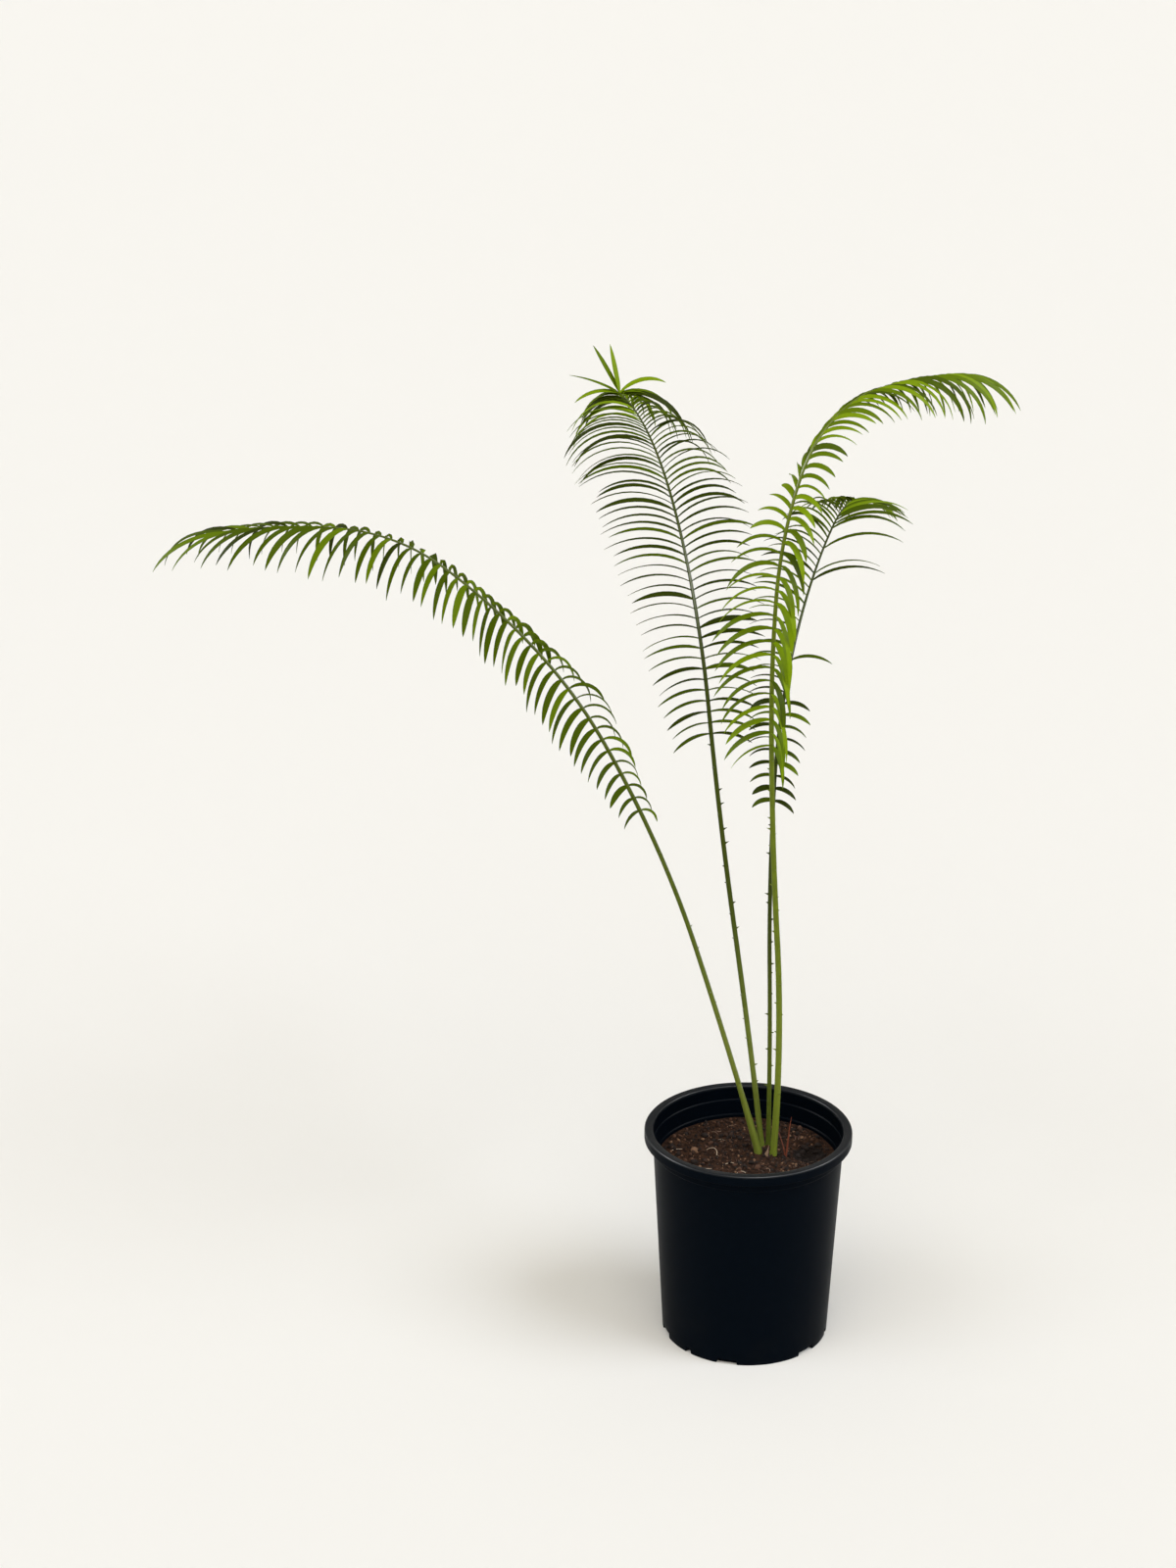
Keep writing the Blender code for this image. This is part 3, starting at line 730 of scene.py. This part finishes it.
blade = {
    "width": 0.0098, "thick": 0.00055, "fold": 0.16, "keel": 0.9, "stations": 12, "steps": 40,
    "curl": 14, "steepest": -86.0, "sight": np.array((0.0, 0.93, -0.36)),
    "outline": ((0, 0.36), (0.05, 0.50), (0.16, 0.86), (0.32, 1.0), (0.5, 1.0), (0.68, 0.86),
                (0.82, 0.62), (0.93, 0.32), (1.0, 0.03)),
}


def leafletMesh(leaf, rib, draw):
    # a keeled, slightly folded blade: 2 upper faces and 3 lower ones round, pointed at its end
    count = blade["steps"]
    out = np.array((math.cos(leaf["bearing"]), math.sin(leaf["bearing"]), 0.0))
    up = np.array((0.0, 0.0, 1.0))
    shares = (np.arange(count) + 0.5) / count
    sagging = leaf["elevation"] - leaf["sag"] * shares ** leaf["early"]
    angles = np.radians(np.maximum(sagging, blade["steepest"]))
    ahead = out[None] * np.cos(angles)[:, None] + up[None] * np.sin(angles)[:, None]
    root = rib.place(leaf["run"])
    line = np.concatenate([[root], root + np.cumsum(ahead, 0) * leaf["length"] / count])
    turn = draw.gauss(0, blade["curl"])
    sight = blade["sight"]
    hand = 1 if out[0] > 0 else -1
    shares, widths = zip(*blade["outline"])
    rings = []
    for i in range(blade["stations"]):
        s = 1 - (1 - i / (blade["stations"] - 1)) ** 1.15
        at = s * count
        k = min(int(at), count - 1)
        place = line[k] + (line[k + 1] - line[k]) * (at - k)
        heading = ahead[k]
        edge = sight - np.dot(sight, heading) * heading
        edge = edge / np.linalg.norm(edge)
        shown = math.radians(leaf["show"] + turn * s)
        across = edge * math.cos(shown) + hand * np.cross(heading, edge) * math.sin(shown)
        normal = np.cross(heading, across) * hand
        half = blade["width"] / 2 * float(np.interp(s, shares, widths))
        if i == 0:
            half = min(half, rib.radius(leaf["run"]) * 0.8)
        thick = blade["thick"] * (1.5 - 0.9 * s)
        fold = blade["fold"] * half
        keel = blade["keel"] * thick
        rings.append([
            place - half * across + fold * normal,
            place - 0.2 * half * across - keel * normal,
            place + 0.2 * half * across - keel * normal,
            place + half * across + fold * normal,
            place + 0.15 * thick * normal,
        ])
    points, faces = strip(rings)
    top = [i % 5 in (3, 4) for i in range(5 * (blade["stations"] - 1))] + [False, False]
    return points, faces, top


greens = {
    # upper and lower face of each kind, dark to bright
    "leafDeep": ((0.030, 0.044, 0.0010), (0.055, 0.078, 0.0030)),
    "leafMid": ((0.064, 0.100, 0.0015), (0.105, 0.153, 0.0050)),
    "leafFresh": ((0.112, 0.175, 0.0022), (0.162, 0.238, 0.0070)),
    "leafBright": ((0.190, 0.285, 0.0040), (0.245, 0.350, 0.0100)),
}


def leafPaints():
    paints = []
    for name, (upper, lower) in greens.items():
        paints.append(plain(name + "Upper", upper, 0.55, Specular_IOR_Level=0.015))
        paints.append(plain(name + "Lower", lower, 0.65, Specular_IOR_Level=0.0))
    return paints


def buildLeaves():
    paints = leafPaints()
    draw = random.Random(frondSeed)
    look = random.Random(lookSeed)
    total = 0
    for name, values in fronds.items():
        rib = ribs[name]
        pile = Pile()
        for leaf in leafletsOf(values, rib, draw):
            points, faces, top = leafletMesh(leaf, rib, look)
            weights = [along01(column, leaf["share"]) for column in zip(*values["deal"])]
            kind = look.choices(range(4), weights)[0]
            pile.add(points, faces, [2 * kind + (0 if upper else 1) for upper in top])
            total += 1
        made = pile.piece("leaflets_" + name, paints, 50)
        finish(made, "leaf_green", f"frond_{name}_low", f"frond_{name}_high")
    print("leaflets", total)


stalkTones = {
    # near the foot, higher up, and in the patches
    "left": ((0.185, 0.225, 0.034), (0.074, 0.100, 0.006), (0.125, 0.165, 0.012)),
    "middle": ((0.160, 0.200, 0.030), (0.042, 0.058, 0.002), (0.056, 0.074, 0.003)),
    "right": ((0.185, 0.235, 0.028), (0.120, 0.160, 0.008), (0.200, 0.265, 0.016)),
    "back": ((0.125, 0.165, 0.022), (0.036, 0.052, 0.002), (0.048, 0.066, 0.003)),
}
ribs = {name: Rib(values) for name, values in fronds.items()}
stalk = {
    "sides": 14, "bareStep": 0.006, "leafyStep": 0.005, "flare": 1.12, "sunk": 0.008, "tip": 0.0004,
}
prickle = {
    "from": 0.09, "length": (0.0028, 0.0054), "gap": (0.012, 0.034), "width": 0.0011,
    "seeds": {"left": 1232, "middle": 1271, "right": 1275, "back": 1063},
}


def buildStalks():
    for name, rib in ribs.items():
        values = fronds[name]
        paint = stalkGreen("stalk_" + name, *stalkTones[name])
        sides = stalk["sides"]
        runs = np.concatenate([
            np.arange(0.0, values["leafy"], stalk["bareStep"]),
            np.arange(values["leafy"], values["length"], stalk["leafyStep"]),
        ])
        rings = [rib.ring(run, sides) for run in runs]
        foot = rib.ring(0.0, sides, rib.radius(0.0) * stalk["flare"])
        sunk = foot.copy()
        sunk[:, 2] = soil["level"] - stalk["sunk"]
        tip = rib.ring(values["length"], sides, stalk["tip"])
        points, faces = strip([sunk, foot] + rings[1:] + [tip])
        pile = Pile()
        pile.add(points, faces, 0)
        addPrickles(pile, rib, values["leafy"], prickle["seeds"][name])
        made = pile.piece("stalkLimb_" + name, [paint], 60)
        finish(made, "stalk_green", "stalk_" + name)


def addPrickles(pile, rib, leafy, seed):
    # small spines in two rows along the bare stalk
    draw = random.Random(seed)
    run = prickle["from"]
    while run < leafy - 0.004:
        along, upper, right = rib.frame(run)
        side = draw.choice((-1, 1))
        out = side * right * 0.86 + upper * draw.uniform(0.1, 0.6)
        out = out / np.linalg.norm(out)
        root = rib.place(run) + out * rib.radius(run) * 0.75
        length = draw.uniform(*prickle["length"])
        tip = root + out * (length + rib.radius(run) * 0.25) + along * length * 0.4
        across = np.cross(out, along)
        wide = across * prickle["width"]
        long = along * prickle["width"] * 1.6
        points = [root + long, root + wide, root - long, root - wide, tip]
        pile.add(points, [(0, 1, 4), (1, 2, 4), (2, 3, 4), (3, 0, 4), (3, 2, 1, 0)], 0)
        run += draw.uniform(*prickle["gap"])


buildStalks()
print("stalks built")
buildLeaves()
print("fronds built")


# Crown and dead spike

crown = {"scales": 26, "turn": 0.382, "inner": 0.004, "spread": 0.0165, "seed": 31}
spikes = {
    "place": (0.052, 0.018), "height": 0.054, "radius": 0.0024, "steps": 14,
    "each": ((0.16, 1.0, 0.3), (0.30, 0.62, 2.6)),      # lean, share of the height, turn
}


def scaleShape(root, along, side, width, curl):
    # a pointed dry scale, hollow on its inner face
    length = np.linalg.norm(along)
    heading = along / length
    face = np.cross(side, heading)
    rings = []
    steps = 7
    for i in range(steps + 1):
        s = i / steps
        half = width / 2 * (1 - s ** 1.6) * (0.8 + 0.5 * math.sin(math.pi * min(1, s * 1.4)))
        middle = root + along * s + face * curl * length * s * s
        thick = 0.0006 * (1.15 - s)
        cup = 0.25 * half
        half = max(half, 0.0002)
        rings.append([
            middle - side * half - face * cup, middle + face * thick,
            middle + side * half - face * cup, middle - face * thick,
        ])
    return strip(rings)


def buildCrown():
    draw = random.Random(crown["seed"])
    pile = Pile()
    middle = np.array((*soil["crown"], soil["level"] - 0.001))
    spots = []
    for i in range(crown["scales"]):
        angle = math.tau * (i * crown["turn"]) + draw.uniform(-0.3, 0.3)
        spots.append((angle, crown["inner"] + crown["spread"] * math.sqrt(i / crown["scales"])))
    for angle, radius in spots:
        outward = np.array((math.cos(angle), math.sin(angle), 0.0))
        side = np.array((-math.sin(angle), math.cos(angle), 0.0))
        tilt = math.radians(draw.uniform(8, 46))
        length = draw.uniform(0.006, 0.0125)
        along = length * (outward * math.sin(tilt) + np.array((0, 0, math.cos(tilt))))
        root = middle + outward * radius
        width = draw.uniform(0.003, 0.0055)
        points, faces = scaleShape(root, along, side, width, draw.uniform(-0.3, 0.1))
        pile.add(points, faces, draw.choice((0, 1, 1, 2)))
    # one taller pale scale between the stalks
    root = middle + np.array((-0.001, -0.018, 0.001))
    along = np.array((0.004, -0.001, 0.020))
    pile.add(*scaleShape(root, along, np.array((1.0, 0.0, 0.0)), 0.0055, -0.1), 3)
    paints = [
        plain("huskDark", (0.040, 0.018, 0.0100), 0.9), plain("huskBrown", (0.090, 0.047, 0.026), 0.9),
        plain("huskRed", (0.12, 0.045, 0.024), 0.9), plain("huskTan", (0.30, 0.18, 0.10), 0.85),
    ]
    finish(pile.piece("crownScales", paints, 60), "dry_scale", "crown")


def buildSpikes():
    # two thin dead spikes from one foot, their feet sunk in the soil
    pile = Pile()
    x, y = spikes["place"]
    for lean, share, turn in spikes["each"]:
        line = []
        radii = []
        for i in range(spikes["steps"] + 1):
            s = i / spikes["steps"]
            height = spikes["height"] * share * s
            offset = lean * height * (1 + s) / 2
            line.append((
                x + offset * math.cos(turn) + 0.0007 * math.sin(5 * s),
                y + offset * math.sin(turn),
                soil["level"] + 0.002 + height * 1.12 - 0.006 * (1 - s),
            ))
            radii.append(max(0.0003, spikes["radius"] * share * (1.1 - s) ** 0.8))
        pile.add(*tube(line, radii, 8, 0.6), 0)
    paint = plain("deadLeaf", (0.20, 0.048, 0.022), 0.7, Specular_IOR_Level=0.2)
    finish(pile.piece("deadSpikes", [paint], 60), "dead_leaf", "dead_spike")


buildCrown()
buildSpikes()
print("crown built")


# Stage, lights and camera

stage = {"floor": 62.0, "bend": 8.0, "top": 26.0, "sides": 96, "cream": (0.896, 0.882, 0.850)}
skyBlue = (0.86, 0.91, 1.0)
warmWhite = (1.0, 0.955, 0.86)


def buildStage():
    # a wide pale floor that turns up into a wall far away on all sides
    sides = stage["sides"]
    floor = stage["floor"]
    bend = stage["bend"]
    rows = [(3.0, 0.0), (9.0, 0.0), (30.0, 0.0), (floor, 0.0)]
    for t in np.linspace(0.1, math.pi / 2, 14):
        rows.append((floor + bend * math.sin(t), bend * (1 - math.cos(t))))
    rows.append((floor + bend, stage["top"]))
    angles = [math.tau * j / sides for j in range(sides)]
    points = [(0.0, 0.0, 0.0)]
    for radius, height in rows:
        points += ringAt(radius, height, angles)
    faces = [(0, 1 + j, 1 + (j + 1) % sides) for j in range(sides)]
    for i in range(len(rows) - 1):
        a = 1 + i * sides
        for j in range(sides):
            k = (j + 1) % sides
            faces.append((a + j, a + sides + j, a + sides + k, a + k))
    cream = plain("backdropCream", stage["cream"], 1.0, Specular_IOR_Level=0.0)
    meshPiece("backdrop", points, faces, [cream])


def softSun(name, azimuth, elevation, strength, spread, colour):
    # azimuth is where the light comes from, from +X towards +Y
    data = bpy.data.lights.new(name, "SUN")
    data.energy = strength
    data.angle = math.radians(spread)
    data.color = colour
    made = bpy.data.objects.new(name, data)
    a, e = math.radians(azimuth), math.radians(elevation)
    place = Vector((math.cos(a) * math.cos(e), math.sin(a) * math.cos(e), math.sin(e)))
    made.location = place * 4
    made.rotation_euler = place.to_track_quat("Z", "Y").to_euler()
    bpy.context.scene.collection.objects.link(made)


def glint(name, place, size, power):
    # a round lamp, turned to the pot, that shows only in glossy reflections
    data = bpy.data.lights.new(name, "AREA")
    data.shape = "DISK"
    data.size = size
    data.energy = power
    made = bpy.data.objects.new(name, data)
    made.location = place
    away = Vector(place) - Vector((0, 0, pot["height"]))
    made.rotation_euler = away.to_track_quat("Z", "Y").to_euler()
    made.visible_diffuse = False
    made.visible_transmission = False
    bpy.context.scene.collection.objects.link(made)


buildStage()
softSun("keyRight", -22, 47, 1.40, 34, skyBlue)
softSun("keyLeft", 200, 47, 0.58, 34, skyBlue)
softSun("front", -95, 52, 1.25, 60, warmWhite)
glint("glintRight", (2.6, 0.6, 2.8), 0.9, 260)
glint("glintLeft", (-2.8, 0.9, 2.6), 0.9, 260)
glint("glintTop", (0.5, -1.3, 3.4), 1.2, 240)

world = bpy.data.worlds.new("studio")
bpy.context.scene.world = world
world.use_nodes = True
sky = world.node_tree.nodes["Background"]
sky.inputs["Color"].default_value = (1.0, 0.945, 0.835, 1.0)
sky.inputs["Strength"].default_value = 0.29
bpy.context.scene.view_settings.view_transform = "Standard"

view = {"place": (-0.216, -3.779, 2.249), "tilt": 68.98, "lens": 72.0, "far": 200.0}
lens = bpy.data.cameras.new("camera")
lens.lens = view["lens"]
lens.sensor_width = 36.0
lens.dof.use_dof = False
lens.clip_end = view["far"]
camera = bpy.data.objects.new("camera", lens)
camera.location = view["place"]
camera.rotation_euler = (math.radians(view["tilt"]), 0.0, 0.0)
bpy.context.scene.collection.objects.link(camera)
bpy.context.scene.camera = camera
print("stage built")
